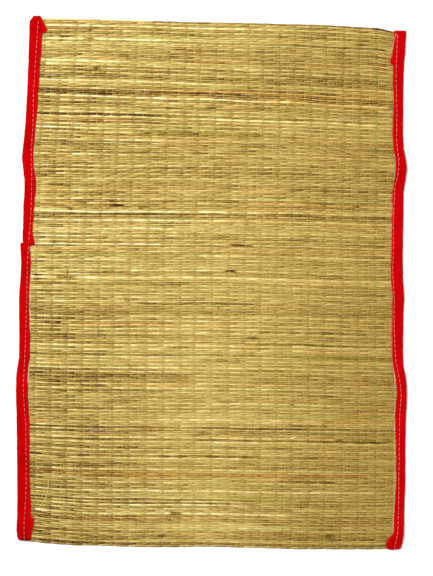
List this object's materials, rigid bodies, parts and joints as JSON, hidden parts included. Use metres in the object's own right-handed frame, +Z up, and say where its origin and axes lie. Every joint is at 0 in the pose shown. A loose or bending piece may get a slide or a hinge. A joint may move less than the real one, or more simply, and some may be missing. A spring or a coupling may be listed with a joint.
{
  "type": "meditation mat",
  "caption": "Flat rectangular mat of woven dried grass, with folded red cloth tape sewn over its long sides and soft cross ridges left by folding.",
  "frame": {"origin": "on the floor under the middle of the mat", "axes": "+X along the reeds from the left tape to the right tape, +Y along the mat to its far end, +Z up through the mat's upper face"},
  "size_m": [0.454, 0.6221, 0.0073],
  "materials": {
    "grass": "dried grass reeds in a plain weave, straw yellow with darker reeds, slight sheen",
    "tape": "plain woven cotton, strong red, matt"
  },
  "bodies": {
    "root": {"woven_panel": "grass", "left_upper_tape": "tape", "left_lower_tape": "tape", "right_tape": "tape"}
  },
  "joints": []
}
